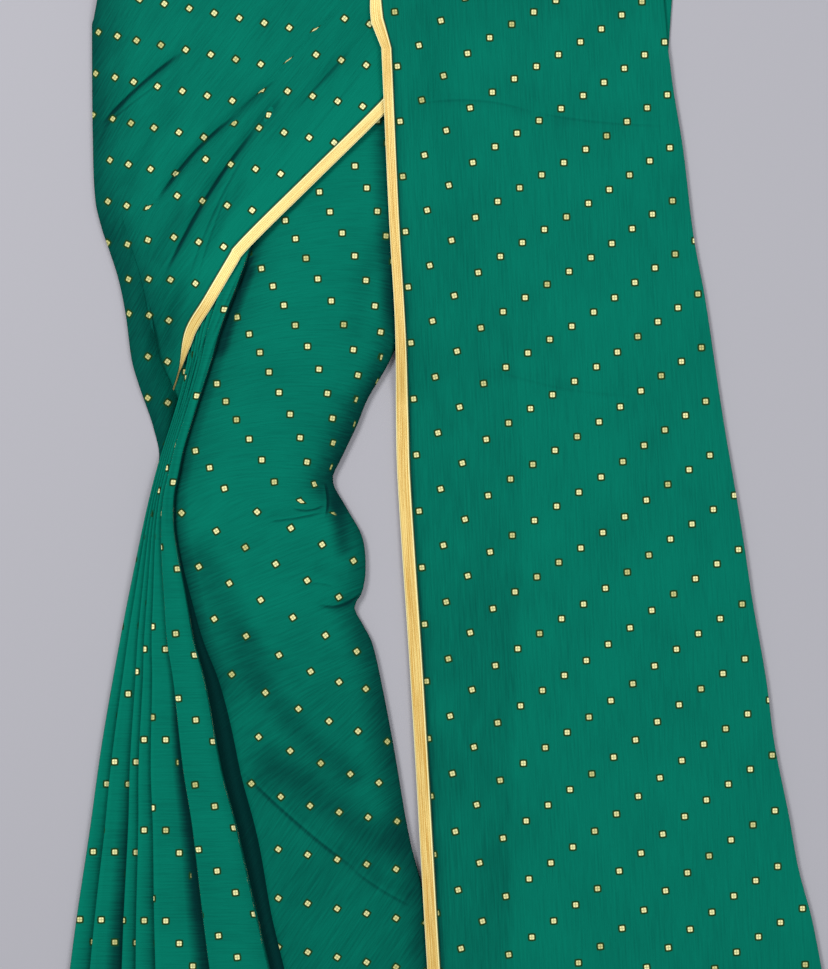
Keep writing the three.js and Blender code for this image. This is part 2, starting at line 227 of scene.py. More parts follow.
def bundle_height(level, x, y):
    """Height of a layer of the pleats. They sink where the back layer no longer lies under them."""
    right = outline(LEG_RIGHT, y)
    across = (right - x) / (right - outline(HIP_LEFT, y))
    past = (across - outline(BACK_FEET, y)) * BACK_WIDTH
    return level_height(level) - INNER_LEVEL * LAYER * ease((past - 25) / 130)


def inner_height(x, y):
    return bundle_height(INNER_LEVEL, x, y)


def in_bundle(share, y):
    """Place in the bundle of pleats, by its share of the way from left to right."""
    return mix(outline(PLEAT_LEFT, y), outline(PLEAT_RIGHT, y), share)


def pleat_fold(neck, hem, y):
    """Place of a pleat's fold: its share of the bundle changes from the neck to the hem."""
    return in_bundle(mix(neck, hem, ease((30 - y) / 420)), y)


def valley(y):
    """How wide open the valley between the pleats and the leg panel is, from 0 to 1 towards the hem."""
    return ease((-70 - y) / 240)


def leg_left(y):
    return outline(PLEAT_RIGHT, y) + 2.5 + VALLEY_WIDTH * valley(y) - 5 * ease((-400 - y) / 110)


# Creases of the leg panel: short folds beside the notch in its right edge, long ones below them and two
# above. Each has its points, its half width, its depth and how much painted shade it has.
LEG_CREASES = [
    ([(-166, -40), (-137, -33), (-98, -28)], 10, 1.8, 0.1),
    ([(-92, -8), (-86, -45), (-80, -88)], 15, 2.2, 0.35),
    ([(-70, -130), (-90, -141), (-112, -138)], 8, 2.0, 0.2),
    ([(-118, -92), (-98, -104), (-78, -104)], 12, 1.2, 0.15),
    ([(-257, -59), (-225, -110), (-188, -200), (-160, -250)], 28, 2.2, 0.22),
    ([(-172, -239), (-120, -296), (-52, -349)], 24, 2.0, 0.2),
    ([(-200, -327), (-150, -370), (-93, -420), (-17, -468), (6, -480)], 16, 2.6, 0.1),
    ([(-190, -300), (-120, -350), (-60, -395), (-5, -430)], 36, 1.5, 0.26),
    ([(-240, -66), (-200, -72), (-165, -66)], 12, 1.0, 0.1),
    ([(-205, -160), (-160, -205), (-120, -235)], 14, 1.2, 0.1),
    ([(-184, 258), (-202, 225), (-214, 180), (-226, 140)], 14, 1.8, 0.4),
    ([(-30, 300), (-60, 230), (-70, 150)], 20, 1.2, 0.1),
]


def leg_height(x, y):
    """Soft swell of the leg panel over the layers under it, with its creases."""
    right = outline(LEG_RIGHT, y)
    left = leg_left(y)
    hem_fade = mix(0.3, 1, ease((y - HEM) / 180))
    waist_fade = 1 - 0.4 * ease((y - 260) / 140)
    swell = rounded((right - x) / LEG_SHOULDER) * LEG_RISE * hem_fade * waist_fade
    dip = 5 * (1 - ease((x - left) / 60)) * hem_fade
    soft = ease((right - x) / 40) * ease((x - left) / 30)
    down = ease(-y / 260)
    folds = 0.8 * soft * (wave(x, y, 74, mix(4, 38, down), 0.4)
                          + 0.5 * wave(x, y, 33, mix(10, 42, down), 2.2))
    folds -= crease_depth(x, y, LEG_CREASES) * mix(0.4, 1, soft)
    return level_height(0) + LEG_FOOT + max(1, swell - dip + folds)


# Creases of the hip wrap, drawn by the pull of the neck of the pleats. They rise to the right. Each has its
# points, half width, depth and painted shade.
WRAP_CREASES = [
    ([(-356, 416), (-315, 457), (-256, 502)], 9, 2.6, 0.2),
    ([(-295, 322), (-254, 378), (-202, 424), (-158, 463)], 10, 2.8, 0.22),
    ([(-283, 246), (-239, 327), (-174, 418), (-150, 440)], 10, 2.6, 0.22),
    ([(-240, 250), (-214, 310), (-190, 352)], 12, 1.4, 0.15),
    ([(-134, 433), (-104, 465), (-74, 497)], 9, 1.4, 0.15),
    ([(-300, 250), (-280, 290), (-262, 330)], 16, 1.6, 0.15),
    ([(-330, 330), (-300, 390), (-262, 440)], 18, 1.4, 0.1),
    ([(-284, 150), (-276, 190), (-262, 235)], 12, 1.6, 0.1),
]

# Ridges of the hip wrap between its creases: points, half width and rise
WRAP_RIDGES = [([(-166, 310), (-135, 350), (-106, 388), (-64, 440)], 8, 1.2),
               ([(-282, 356), (-262, 380), (-240, 406), (-205, 437)], 6, 1.3),
               ([(-270, 290), (-250, 330), (-226, 368), (-196, 404)], 6, 1.2)]


def wrap_folds(x, y):
    ripples = 0.5 * wave(x, y, 46, 51, 1.0) + 0.3 * wave(x, y, 21, 54, 3.1)
    ridges = sum(rise * trough(x, y, points, width) for points, width, rise in WRAP_RIDGES)
    return ripples + ridges - crease_depth(x, y, WRAP_CREASES)


def wrap_shade(x, y, share):
    """Painted shade: the wrap is darker towards its outer edge and low down, and in its creases. A painted
    highlight lies by its tape.
    """
    outer = 0.36 * (1 - ease((x - outline(HIP_LEFT, y)) / 60))
    low = 0.18 * ease((360 - y) / 200)
    light = 0.16 * (1 - ease((share - 0.05) / 0.03)) + 0.18 * (1 - ease((share - 0.04) / 0.13))
    light *= ease((y - 180) / 90)
    return clamp(0.26 + outer + low + crease_shade(x, y, WRAP_CREASES) - light)


def wrap_height(x, y):
    """Swell of the hip wrap over the pleats, down to the floor past the waist and at the right."""
    left = outline(HIP_LEFT, y)
    past = (1 - ease((y - 545) / 190)) * (1 - ease((x - 20) / 90))
    rise = rounded((x - left) / 140) * (1 - 0.45 * ease((x + 120) / 120)) * past
    return level_height(1) + 23 * rise


# Faint creases across the end panel, where it was once folded for storage: points, half width, depth and
# painted shade
END_CREASES = [
    ([(0, 434), (40, 440), (70, 441), (134, 428), (185, 417), (290, 412)], 5, 0.7, 0.08),
    ([(60, 130), (120, 126), (180, 112), (240, 104)], 7, 0.4, 0.08),
]


def end_shade(x, y):
    """More layers lie under the end panel beside its tape, and they show through as a deeper green. Right by
    the tape and in its creases the shade is painted.
    """
    layered = mix(0.07, 0.14, ease((60 - y) / 300)) * ease((380 - y) / 160)
    layered *= 1 - ease((x - outline(LAP_RIGHT, y) + 4) / 5)
    from_tape = x - outline(END_LEFT, y)
    # Painted shadow along the tape
    tape_shadow = 0.15 * (1 - ease(from_tape / 14)) + 0.25 * (1 - ease(from_tape / 3))
    return clamp(0.2 + layered + tape_shadow + crease_shade(x, y, END_CREASES))


def end_ripple(x, y):
    """Shallow lengthwise ripples of the end panel."""
    ripples = 0.6 * wave(x, y, 61, 94, 0.7) + 0.35 * wave(x, y, 27, 92, 1.9)
    return 1.8 + ripples - crease_depth(x, y, END_CREASES)


# The cloth is a grid of ribs that follow one another along its taped edge. Each rib has a row of cells, from
# the taped edge to the other: (place, place in the print, painted shade). The painted shade makes the colour
# darker where shade falls. With them goes the way across the tape.
# A rib that is doubled gives its front layer the first rows.
ROWS = 146
FRONT_ROWS = 78
HIDDEN_SHADE = 0.5
columns = []


def share_at(row):
    return row / (ROWS - 1)


def upright_column(place, height, print_place, shade=lambda x, y: HIDDEN_SHADE):
    """Rib that crosses the pleats or the leg panel from hem to waist."""
    cells = []
    for row in range(ROWS):
        y = mix(HEM, WAIST, share_at(row))
        x = place(y)
        cells.append(((x, y, height(x, y)), print_place(x, y), shade(x, y)))
    columns.append((cells, (0, -TAPE_WIDTH, 0)))


def upright_print(shift):
    """The print stands upright on the pleats. Its shift along the cloth grows from layer to layer."""
    return lambda x, y: (x + shift - 2.5, y + 7)


def top_pleat_print(x, y):
    """The print on the top pleat leans with its right edge."""
    return x - outline(PLEAT_RIGHT, y) + 19.4, 1.05 * (y + 369)


def pleat_crown(front, x, y):
    """A pleat's front fold stands up and dies away behind it. Under the wrap it lies pressed flat."""
    return PLEAT_CROWN * math.exp(-max(0, x - front) / PLEAT_SOFTNESS) * ease((70 - y) / 110)


def pleat_shade(front, next_front, x, y):
    """Painted shade: each pleat lies in the shade of the next one's fold. A painted highlight makes it
    lightest by its own fold.
    """
    wide = ease((next_front - front - 12) / 30)
    reach = mix(3, mix(14, 26, wide), ease((-100 - y) / 380))
    painted_dark = mix(0.3, mix(0.34, 1, wide), ease((-40 - y) / 300))
    painted_dark *= ease((x - next_front + reach) / reach) ** 1.3
    return clamp(0.19 + painted_dark - 0.15 * math.exp(-max(0, x - front) / 9))


def neck_folds(x, y):
    """Small lengthwise folds where the top pleat is drawn together under the wrap."""
    across = x - outline(PLEAT_RIGHT, y)
    return 0.9 * math.sin(across / 2.1 + y / 90) * ease((y + 130) / 110) * ease(-across / 5)


def lay_inner_panel():
    """The cloth's inner end lies flat under the pleats."""
    for reach in (80, 50, 25):
        upright_column(lambda y: outline(PLEAT_RIGHT, y) + reach, inner_height, upright_print(0))
    for share in (0.7, 0.35, 0):
        upright_column(lambda y: in_bundle(share, y), inner_height, upright_print(0))


def pleat_turn(place, side, low, high, shift):
    """Folded edge between two layers, a half round from the lower one to the upper one."""
    for angle in TURN_ANGLES:
        lift = (1 - math.cos(math.radians(angle))) / 2
        bulge = math.sin(math.radians(angle))
        upright_column(lambda y: place(y) + side * TURN_REACH * bulge,
                       lambda x, y: mix(low(place(y), y), high(place(y), y), lift), upright_print(shift))


def lay_pleats():
    """Each knife pleat has a front layer, a layer hidden under it, and a fold at both ends of that one."""
    first = lambda y: in_bundle(0, y)
    top_of_first = lambda x, y: bundle_height(INNER_LEVEL + 1, x, y) + pleat_crown(first(y), x, y)
    pleat_turn(first, -1, inner_height, top_of_first, 0)
    for i, (neck, hem, under_neck, under_hem) in enumerate(PLEATS[:-1]):
        level = INNER_LEVEL + 1 + 2 * i
        shift = PLEAT_SHIFT * i
        next_neck, next_hem = PLEATS[i + 1][:2]
        front = lambda y: pleat_fold(neck, hem, y)
        under = lambda y: pleat_fold(under_neck, under_hem, y)
        next_front = lambda y: pleat_fold(next_neck, next_hem, y)
        top = lambda x, y: bundle_height(level, x, y) + pleat_crown(front(y), x, y)
        shade = lambda x, y: pleat_shade(front(y), next_front(y), x, y)
        for share in PLEAT_RIBS:
            upright_column(lambda y: mix(front(y), under(y), share), top, upright_print(shift), shade)
        below = lambda x, y: bundle_height(level + 1, x, y) + pleat_crown(front(y), x, y)
        above = lambda x, y: bundle_height(level + 2, x, y) + pleat_crown(next_front(y), x, y)
        pleat_turn(under, 1, top, below, shift)
        upright_column(under, below, upright_print(shift + UNDER_SHIFT))
        upright_column(next_front, below, upright_print(shift + UNDER_SHIFT))
        pleat_turn(next_front, -1, below, above, shift + PLEAT_SHIFT)


def lay_top_pleat():
    """The top pleat shows its whole front layer, which runs on into the leg panel."""
    neck, hem, under_neck, under_hem = PLEATS[-1]
    front = lambda y: pleat_fold(neck, hem, y)
    top = lambda x, y: bundle_height(TOP_LEVEL, x, y) + pleat_crown(front(y), x, y) + neck_folds(x, y)
    for share in PLEAT_RIBS:
        upright_column(lambda y: mix(front(y), pleat_fold(under_neck, under_hem, y), share), top,
                       top_pleat_print, lambda x, y: 0.18)


# The print on the upper leg panel runs upright: a place on it, and the print there. Lower down it slants
# more and more, as the cloth is drawn up to the left. Each slant has the height where it starts, over how
# far, a place, the print there, and the print's way along and across.
UPPER_PLACE = Vector((-189.75, 54.5))
UPPER_PRINT = Vector((108.5, 26))
LEG_SLANTS = [(15, 60, (-176, -132), (15.5, -130), (0.84, 0.78), (-0.32, 0.77)),
              (-185, 60, (-121, -423), (-170.5, -338), (0.77, 0.79), (-0.50, 0.55)),
              (-320, 80, (-122, -481), (-217, -364), (0.60, 0.82), (-0.69, 0.46))]

# Places where the leg panel has slipped a little: middle, how far round it, way to the right and up
LEG_SHIFTS = [((-112, -240), 70, (6.5, -9)), ((-150, 160), 80, (7, 0)), ((-235, -30), 50, (5, 0))]


def leg_print(x, y):
    """Place of the print on the leg panel. Higher up it turns away at both sides."""
    for (mid_x, mid_y), reach, (right, up) in LEG_SHIFTS:
        shifted = math.exp(-((x - mid_x) ** 2 + (y - mid_y) ** 2) / reach ** 2)
        x, y = x - right * shifted, y - up * shifted
    turned = 60 * math.exp(-max(0, outline(LEG_RIGHT, y) - x) / 22)
    turned -= 14 * ease((y - 60) / 100) * (1 - ease((x - leg_left(y)) / 90))
    arch = 0.0018 * (x + 171 - 0.34 * y) ** 2
    spot = Vector((x + turned, y + arch)) - UPPER_PLACE + UPPER_PRINT
    for start, run, place, there, along, across in LEG_SLANTS:
        way = Vector((x, y)) - Vector(place)
        slanted = Vector((way.dot(Vector(along)), way.dot(Vector(across)))) + Vector(there)
        spot = spot.lerp(slanted, ease((start - y) / run))
    return spot.x, spot.y


def leg_shade(x, y):
    """Painted shade: the leg panel is darker where it turns under at both sides, beside the end panel's tape,
    low down and in its creases."""
    right, left = outline(LEG_RIGHT, y), leg_left(y)
    side_shade = 0.4 * (1 - ease((right - x) / 40)) + 0.35 * (1 - ease((x - left) / 16)) * (1 - valley(y))
    side_shade += 0.16 * (1 - ease((x - left) / 48)) * (1 - ease((-200 - y) / 120))
    side_shade += 0.2 * (1 - ease((right - x) / 85)) * ease((y + 60) / 60) * (1 - ease((y - 90) / 90))
    # Painted shadow of the end panel and its tape
    tape_shadow = 0.45 * (1 - ease((outline(END_LEFT, y) - 15 - x) / 20)) * ease((y - 150) / 60)
    low = 0.16 * ease((-120 - y) / 120)
    return clamp(0.2 + side_shade + crease_shade(x, y, LEG_CREASES) + tape_shadow + low)


LEG_COLUMNS = 42


def lay_leg_panel():
    """The leg panel starts in the valley beside the pleats, and turns under at its right edge. Its ribs stand
    closer together towards that edge."""
    floor = lambda x, y: mix(leg_height(leg_left(y), y) - 1, level_height(INNER_LEVEL + 1) + 1, valley(y))
    side = lambda x, y: mix(bundle_height(TOP_LEVEL, x, y), floor(x, y), 0.5)
    # The valley's walls are painted in full shade, which hides the print there.
    painted_dark = lambda x, y: 1
    upright_column(lambda y: outline(PLEAT_RIGHT, y) + 0.5, side, leg_print, painted_dark)
    upright_column(lambda y: outline(PLEAT_RIGHT, y) + 1.3, floor, leg_print, painted_dark)
    upright_column(lambda y: leg_left(y) - 0.7, floor, leg_print, painted_dark)
    for i in range(LEG_COLUMNS):
        share = math.sin(i / (LEG_COLUMNS - 1) * math.pi / 2 * 0.97)
        upright_column(lambda y: mix(leg_left(y), outline(LEG_RIGHT, y), share), leg_height, leg_print,
                       leg_shade)
    for inset, part in ((0.6, 0.75), (0, 0.5), (0.8, 0.3), (5, 0.08)):
        upright_column(lambda y: outline(LEG_RIGHT, y) - inset,
                       lambda x, y: level_height(0) + LEG_FOOT * part, leg_print, leg_shade)


def between(table, place):
    """Row of a table at a place between its rows, with a smooth curve through them."""
    i = min(int(place), len(table) - 2)
    part = place - i
    values = []
    for k in range(len(table[0])):
        p0, p1, p2, p3 = (table[min(len(table) - 1, max(0, i + step))][k] for step in (-1, 0, 1, 2))
        ahead, behind = (p2 - p0) / 2, (p3 - p1) / 2
        limit = 3 * abs(p2 - p1)
        ahead, behind = (max(-limit, min(limit, slope)) for slope in (ahead, behind))
        values.append(smooth_curve(p1, p2, ahead, behind, part))
    return values


WRAP_ANGLE = math.radians(52)
WRAP_START = Vector((-298, 409))
WRAP_GATHER = 1.17
MAIN_CREASE = Vector((-286, 335))
WRAP_SLIP = Vector((6, 22))


def wrap_print(x, y):
    """The print stands slanted on the wrap, as the cloth is drawn up to the shoulder. Past the main crease
    it has slipped."""
    past = 0.73 * (x - MAIN_CREASE.x) - 0.69 * (y - MAIN_CREASE.y)
    slipped = ease((past + 4) / mix(7, 90, ease((330 - y) / 100)))
    at_edge = 1 - ease((x - outline(HIP_LEFT, y)) / 60)
    across = x - WRAP_START.x - 14 * at_edge - WRAP_SLIP.x * slipped
    up = y - WRAP_START.y - WRAP_SLIP.y * slipped
    return (WRAP_GATHER * (across * math.cos(WRAP_ANGLE) + up * math.sin(WRAP_ANGLE)),
            up * math.cos(WRAP_ANGLE) - across * math.sin(WRAP_ANGLE))


BACK_COLUMNS = 14
HIP_RISE = 4


def lay_back():
    """The back layer lies on the floor under the leg panel and the pleats, and turns over into the wrap."""
    for i in range(BACK_COLUMNS):
        share, foot = between(BACK, i / (BACK_COLUMNS - 1) * (len(BACK) - 1))
        cells = []
        for row in range(ROWS):
            y = mix(foot, WAIST, share_at(row))
            x = mix(outline(BACK_RIGHT, y), outline(HIP_LEFT, y), share)
            cells.append(((x, y, level_height(0)), (x, y), HIDDEN_SHADE))
        columns.append((cells, (mix(-9, -2, share), mix(-TAPE_WIDTH, -12, share), 0)))
    for inset, part in ((0.3, 0.15), (0, 0.4), (0.2, 0.65), (1, 0.88), (2, 1)):
        cells = []
        for row in range(ROWS):
            y = mix(HIP_FOOT, mix(WAIST, HIP_HEAD, part), share_at(row))
            top = level_height(1) + HIP_RISE * ease(share_at(row) / 0.2)
            place = (outline(HIP_LEFT, y) + inset, y, mix(level_height(0), top, part))
            # The turn at the hip is painted in shade.
            cells.append((place, wrap_print(place[0], y), 0.7))
        columns.append((cells, (inset * 1.5 - 2, -12, 0)))


def hip_chord(y):
    """Straight line from the hip's foot to the waist."""
    share = clamp((y - HIP_FOOT) / (WAIST - HIP_FOOT))
    return mix(outline(HIP_LEFT, HIP_FOOT), outline(HIP_LEFT, WAIST), share)


WRAP_COLUMNS = 76
WRAP_TAPE = 10.3
HIDDEN_TAPE = 0.12


def lay_wrap():
    """The wrap's first ribs follow the hip's curve. Its tape is narrow at the tip, under the pleats."""
    for i in range(WRAP_COLUMNS):
        place = i / (WRAP_COLUMNS - 1) * (len(WRAP) - 1)
        foot_x, foot_y, head_x, head_y, rise = between(WRAP, place)
        follow = 1 - ease((place + 1) / 6)
        cells = []
        for row in range(ROWS):
            share = share_at(row)
            y = mix(foot_y, head_y, share)
            bow = (outline(HIP_LEFT, y) - hip_chord(y)) * follow * ease(share / 0.15)
            x = mix(foot_x, head_x, share) + bow
            edge = mix(rise, wrap_height(x, y), ease(share / 0.22))
            shown = ease(share / 0.08) * ease((y - 110) / 60) * (1 - ease((share - 0.8) / 0.2))
            height = edge + wrap_folds(x, y) * shown
            cells.append(((x, y, height), wrap_print(x, y), wrap_shade(x, y, share)))
        tape_share = mix(HIDDEN_TAPE, 1, clamp((place - 1.95) / 0.9))
        columns.append((cells, (WRAP_TAPE * tape_share, -WRAP_TAPE * tape_share, -4 * (1 - tape_share))))


TURN_ROWS = 0.1
LAYER_ROWS = 0.4


def doubled_cell(row, reach, depth, lap):
    """Cell of a rib that is doubled into three layers: its way from the taped edge, and its level. The rows
    behind the front layer are shared out over a turn, the middle layer, a turn and the lowest layer."""
    if row <= FRONT_ROWS:
        return reach * row / FRONT_ROWS, 2
    inner = reach - depth
    hidden = (row - FRONT_ROWS) / (ROWS - 1 - FRONT_ROWS)
    if hidden < TURN_ROWS:
        angle = hidden / TURN_ROWS * math.pi
        return reach + TURN_REACH * math.sin(angle), 1.5 + 0.5 * math.cos(angle)
    hidden -= TURN_ROWS
    if hidden < LAYER_ROWS:
        return mix(reach, inner, hidden / LAYER_ROWS), 1
    hidden -= LAYER_ROWS
    if hidden < TURN_ROWS:
        angle = hidden / TURN_ROWS * math.pi
        return inner - TURN_REACH * math.sin(angle), 0.5 + 0.5 * math.cos(angle)
    return mix(inner, lap, (hidden - TURN_ROWS) / LAYER_ROWS), 0


END_PRINT_START = Vector((33.5, 471))
END_PRINT_LEAN = 0.049
END_PRINT_DROP = 36
END_PRINT_DRAW = 3.5e-5
END_ROW_STEP = 26.1


def end_print(x, y):
    """The print runs down the end panel, parallel with its tape. Its rows drop a little beside the tape and
    rise towards the hem's outer corner. Its own weight draws the cloth out towards the hem. Higher up, the
    print stands closer together towards the outer edge."""
    down = END_PRINT_START.y - y
    across = x - END_PRINT_START.x - END_PRINT_LEAN * down
    across -= 3.6 * ease((across + 10) / 50) * (1 - 0.6 * ease((down - 400) / 150))
    across += 2.5 * ease((down - 600) / 200) * (1 - ease(across / 50))
    rise = 12 - END_PRINT_DROP * (1 - ease((across + 62) / 105)) - 0.0094 * down
    rise += 0.037 * (down - 120) * ease((across - 30) / 300)
    rise -= 2.5 * (ease((across - 80) / 60) - ease((across - 170) / 60))
    past = max(0, across - 150)
    narrowed = 0.1 * past ** 2 / (past + 40) * ease((y + 150) / 400)
    drawn = END_PRINT_DRAW * down * abs(down)
    return drawn - down - rise, -(across + narrowed) * ROW_STEP / END_ROW_STEP


SHOULDER_COLUMNS = 26
SHOULDER_TUCK = 1.4
TUCK_REACH = 0.3
SHOULDER_LAP = 25


def lay_shoulder():
    """A tuck at the shoulder takes up the cloth between the slanted wrap and the end panel. The print ends
    in it on one side and starts again on the other."""
    for i in range(SHOULDER_COLUMNS):
        place = i / (SHOULDER_COLUMNS - 1) * (len(SHOULDER) - 1)
        foot_x, foot_y, head_x, head_y, level, fold, spread, depth = between(SHOULDER, place)
        fold = clamp(fold)
        foot, head = Vector((foot_x, foot_y)), Vector((head_x, head_y))
        reach = (head - foot).length
        way = (head - foot).normalized()
        cells = []
        for row in range(ROWS):
            doubled, layer = doubled_cell(row, reach, max(0, depth), reach + SHOULDER_LAP)
            along = mix(reach * share_at(row), doubled, fold)
            fade = 1 - ease((share_at(row) - 0.6) / 0.35)
            front = max(0, level - 2 * spread) * (1 - ease((along - 140) / 100)) if row <= FRONT_ROWS else 0
            lift = mix(level * fade, layer * spread + front, ease(fold * 1.25))
            spot = foot + way * along
            height = level_height(lift) + wrap_height(spot.x, spot.y) - level_height(1)
            print_place = wrap_print if place < SHOULDER_TUCK else end_print
            # The tuck is painted in full shade, which hides the print there. The rest has a light painted
            # shade.
            shade = 1 if abs(place - SHOULDER_TUCK) < TUCK_REACH else 0.3
            cells.append(((spot.x, spot.y, height), print_place(spot.x, spot.y), shade))
        columns.append((cells, (-way.x * TAPE_WIDTH, -way.y * TAPE_WIDTH, 0)))


END_COLUMNS = 74


def lay_end_panel():
    """The end panel is doubled down its outer side. Below the shoulder its doubled part soon reaches as far
    as the tape."""
    for i in range(END_COLUMNS):
        place = i / (END_COLUMNS - 1) * (len(END_HEIGHTS) - 1)
        y = between([(height,) for height in END_HEIGHTS], place)[0]
        left = outline(END_LEFT, y)
        right = outline(END_RIGHT, y)
        opened = ease((place + 1) / 4)
        fold_x = max(left + 4, outline(LEG_RIGHT, y) + 9, mix(right - 12, -400, opened))
        lap_x = mix(right + 25, outline(LAP_RIGHT, y), ease((place + 1) / 5))
        cells = []
        for row in range(ROWS):
            along, level = doubled_cell(row, right - left, right - fold_x, lap_x - left)
            x = left + along
            raised = outline(END_LIFT, y) * (1 - ease(along / 95)) if row <= FRONT_ROWS else 0
            height = level_height(level) + raised + end_ripple(x, y)
            cells.append(((x, y, height), end_print(x, y), end_shade(x, y)))
        columns.append((cells, (-mix(TAPE_WIDTH, 12.5, ease((y - 40) / 180)), 0, 0)))


lay_inner_panel()
lay_pleats()
lay_top_pleat()
lay_leg_panel()
lay_back()
lay_wrap()
lay_shoulder()
lay_end_panel()


NOT_DRAWN = (1, 0, 1)


def motif_shape(column, row):
    """How far the cloth is drawn out along, aslant and across, so that a motif stays square on it. It is left
    as it is where the print stands nearly edge-on or much squeezed, as in a tuck."""
    before, after = columns[max(0, column - 1)][0][row], columns[min(len(columns) - 1, column + 1)][0][row]
    below, above = columns[column][0][max(0, row - 1)], columns[column][0][min(ROWS - 1, row + 1)]
    side, up = Vector(after[0]) - Vector(before[0]), Vector(above[0]) - Vector(below[0])
    side_u, side_v = after[1][0] - before[1][0], after[1][1] - before[1][1]
    up_u, up_v = above[1][0] - below[1][0], above[1][1] - below[1][1]
    turned = side_u * up_v - up_u * side_v
    if abs(turned) < 0.2 * math.hypot(side_u, side_v) * math.hypot(up_u, up_v) + 0.001:
        return NOT_DRAWN
    along, across = (side * up_v - up * side_v) / turned, (up * side_u - side * up_u) / turned
    first, both, second = along.dot(along), along.dot(across), across.dot(across)
    area = math.sqrt(max(0, first * second - both ** 2))
    if not 0.4 < area < 2.5 or first + second > 3 * area:
        return NOT_DRAWN
    total = math.sqrt(first + second + 2 * area)
    return (first + area) / total, both / total, (second + area) / total


def cloth_corner(column, row):
    return *columns[column][0][row], *motif_shape(column, row)


PRINT_MAP = "print"
SHADE = "shade"
DRAWN = ("drawn_along", "drawn_aslant", "drawn_across")


def finish_mesh(mesh_maker, name):
    mesh = bpy.data.meshes.new(name)
    mesh_maker.to_mesh(mesh)
    mesh_maker.free()
    mesh_object = bpy.data.objects.new(name, mesh)
    bpy.context.collection.objects.link(mesh_object)
    return mesh_object


def sheet_from_grid(name, rows, corner, thickness):
    """Flat grid of cloth whose every corner is moved to its folded place. It carries the print's map, its
    shade and how far it is drawn out."""
    mesh_maker = bmesh.new()
    steps, row_steps = len(columns) - 1, rows - 1
    bmesh.ops.create_grid(mesh_maker, x_segments=steps, y_segments=row_steps, size=0.5)
    uv_layer = mesh_maker.loops.layers.uv.new(PRINT_MAP)
    layers = [mesh_maker.verts.layers.float.new(value) for value in (SHADE, *DRAWN)]
    prints = {}
    for vertex in mesh_maker.verts:
        column = round((vertex.co.x + 0.5) * steps)
        row = round((vertex.co.y + 0.5) * row_steps)
        place, prints[vertex], *values = corner(column, row)
        for layer, value in zip(layers, values):
            vertex[layer] = value
        vertex.co = ORIGIN + Vector(place) * MM
    for face in mesh_maker.faces:
        face.smooth = True
        for loop in face.loops:
            loop[uv_layer].uv = Vector(prints[loop.vert]) * MM
    sheet_object = finish_mesh(mesh_maker, name)
    body = sheet_object.modifiers.new("thickness", "SOLIDIFY")
    body.thickness = thickness * MM
    body.offset = 0
    return sheet_object


CLOTH_THICKNESS = 0.5
cloth = sheet_from_grid("chiffon_cloth", ROWS, cloth_corner, CLOTH_THICKNESS)


class Finish:
    """Node graph of one material, with short calls for its sums."""

    def __init__(self, name):
        self.material = bpy.data.materials.new(name)
        self.material.use_nodes = True
        self.nodes = self.material.node_tree.nodes
        self.links = self.material.node_tree.links
        self.shader = self.nodes["Principled BSDF"]

    def put(self, value, socket):
        if isinstance(value, bpy.types.NodeSocket):
            self.links.new(value, socket)
        else:
            socket.default_value = value

    def sum(self, operation, first, second=0.0, third=0.0):
        node = self.nodes.new("ShaderNodeMath")
        node.operation = operation
        for value, socket in zip((first, second, third), node.inputs):
            self.put(value, socket)
        return node.outputs[0]

    def soft_step(self, value, low, high):
        node = self.nodes.new("ShaderNodeMapRange")
        node.interpolation_type = "SMOOTHSTEP"
        self.put(value, node.inputs["Value"])
        node.inputs["From Min"].default_value = low
        node.inputs["From Max"].default_value = high
        return node.outputs["Result"]

    def weighted(self, *parts):
        """Sum of values, each times its weight."""
        total = 0.0
        for value, weight in parts:
            total = self.sum("MULTIPLY_ADD", value, weight, total)
        return total

    def blend(self, share, first, second):
        node = self.nodes.new("ShaderNodeMix")
        node.data_type = "RGBA"
        self.put(share, node.inputs["Factor"])
        self.put(first, node.inputs[6])
        self.put(second, node.inputs[7])
        return node.outputs[2]

    def attribute(self, name):
        node = self.nodes.new("ShaderNodeAttribute")
        node.attribute_name = name
        return node.outputs["Fac"]

    def print_map(self):
        source = self.nodes.new("ShaderNodeUVMap")
        source.uv_map = PRINT_MAP
        return source.outputs["UV"]

    def print_place(self):
        """Place in the print: along the cloth, and across it."""
        split = self.nodes.new("ShaderNodeSeparateXYZ")
        self.links.new(self.print_map(), split.inputs[0])
        return split.outputs[0], split.outputs[1]

    def noise(self, along, across, detail, roughness):
        """Noise on the cloth, by its number of waves in a metre along and across."""
        mapping = self.nodes.new("ShaderNodeMapping")
        mapping.inputs["Scale"].default_value = (along, across, 1)
        self.links.new(self.print_map(), mapping.inputs["Vector"])
        node = self.nodes.new("ShaderNodeTexNoise")
        node.inputs["Scale"].default_value = 1.0
        node.inputs["Detail"].default_value = detail
        node.inputs["Roughness"].default_value = roughness
        self.links.new(mapping.outputs["Vector"], node.inputs["Vector"])
        return node.outputs["Fac"]

    def distance(self, place, spot):
        """Level distance from a place of the layout."""
        node = self.nodes.new("ShaderNodeVectorMath")
        node.operation = "DISTANCE"
        flat = self.nodes.new("ShaderNodeVectorMath")
        flat.operation = "MULTIPLY"
        flat.inputs[1].default_value = (1, 1, 0)
        self.links.new(place, flat.inputs[0])
        self.links.new(flat.outputs[0], node.inputs[0])
        node.inputs[1].default_value = (ORIGIN.x + spot.x * MM, ORIGIN.y + spot.y * MM, 0)
        return node.outputs["Value"]

    def bump(self, height, depth, below=None):
        node = self.nodes.new("ShaderNodeBump")
        node.inputs["Strength"].default_value = 1.0
        node.inputs["Distance"].default_value = depth
        self.links.new(height, node.inputs["Height"])
        if below is not None:
            self.links.new(below, node.inputs["Normal"])
        return node.outputs["Normal"]
